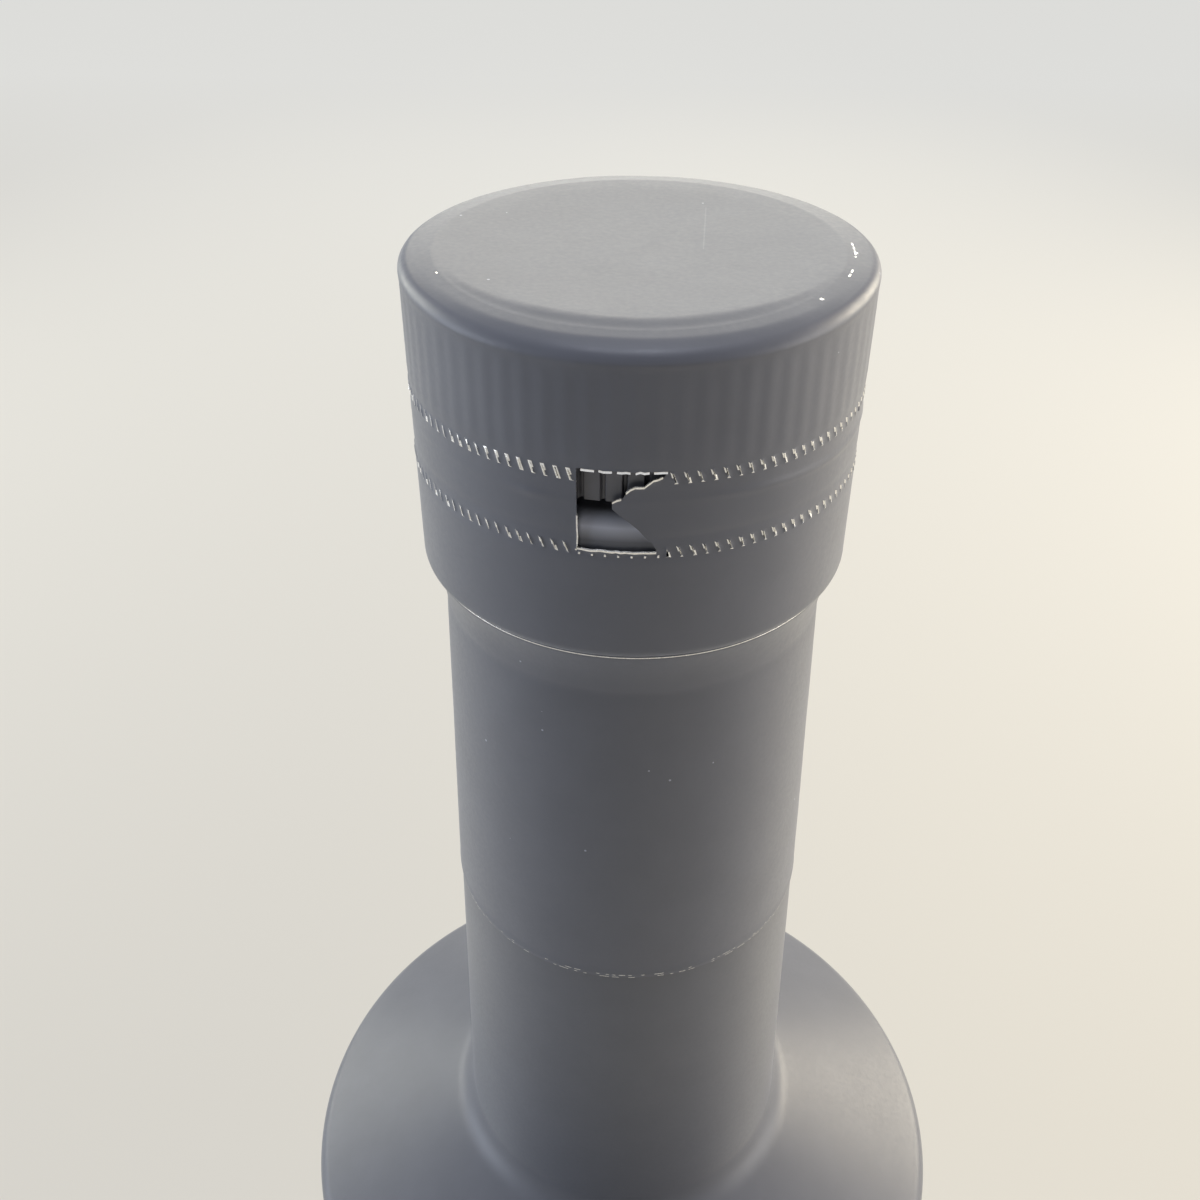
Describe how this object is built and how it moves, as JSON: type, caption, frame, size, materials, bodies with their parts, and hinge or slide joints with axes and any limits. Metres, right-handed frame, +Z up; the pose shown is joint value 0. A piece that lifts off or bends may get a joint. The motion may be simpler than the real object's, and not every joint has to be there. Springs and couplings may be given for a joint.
{
  "type": "whisky bottle",
  "caption": "Tall opaque grey spirit bottle with a sloping shoulder, slim neck, ribbed stopper and foil capsule whose tear strip has been started.",
  "frame": {"origin": "centre of the base, on the surface that the bottle stands on", "axes": "+Z up along the bottle's axis of symmetry, its longest extent; -Y towards the tear window in the capsule"},
  "size_m": [0.072, 0.072, 0.328],
  "materials": {
    "lacquered_glass": "opaque slate-grey lacquer, satin matt, on glass",
    "stopper_plastic": "dark grey moulded plastic with fine ribs",
    "lacquered_foil": "slate-grey matt lacquer on thin aluminium foil, bare bright metal at the torn edges"
  },
  "bodies": {
    "root": {"bottle": "lacquered_glass", "stopper": "stopper_plastic", "capsule": "lacquered_foil"}
  },
  "joints": []
}
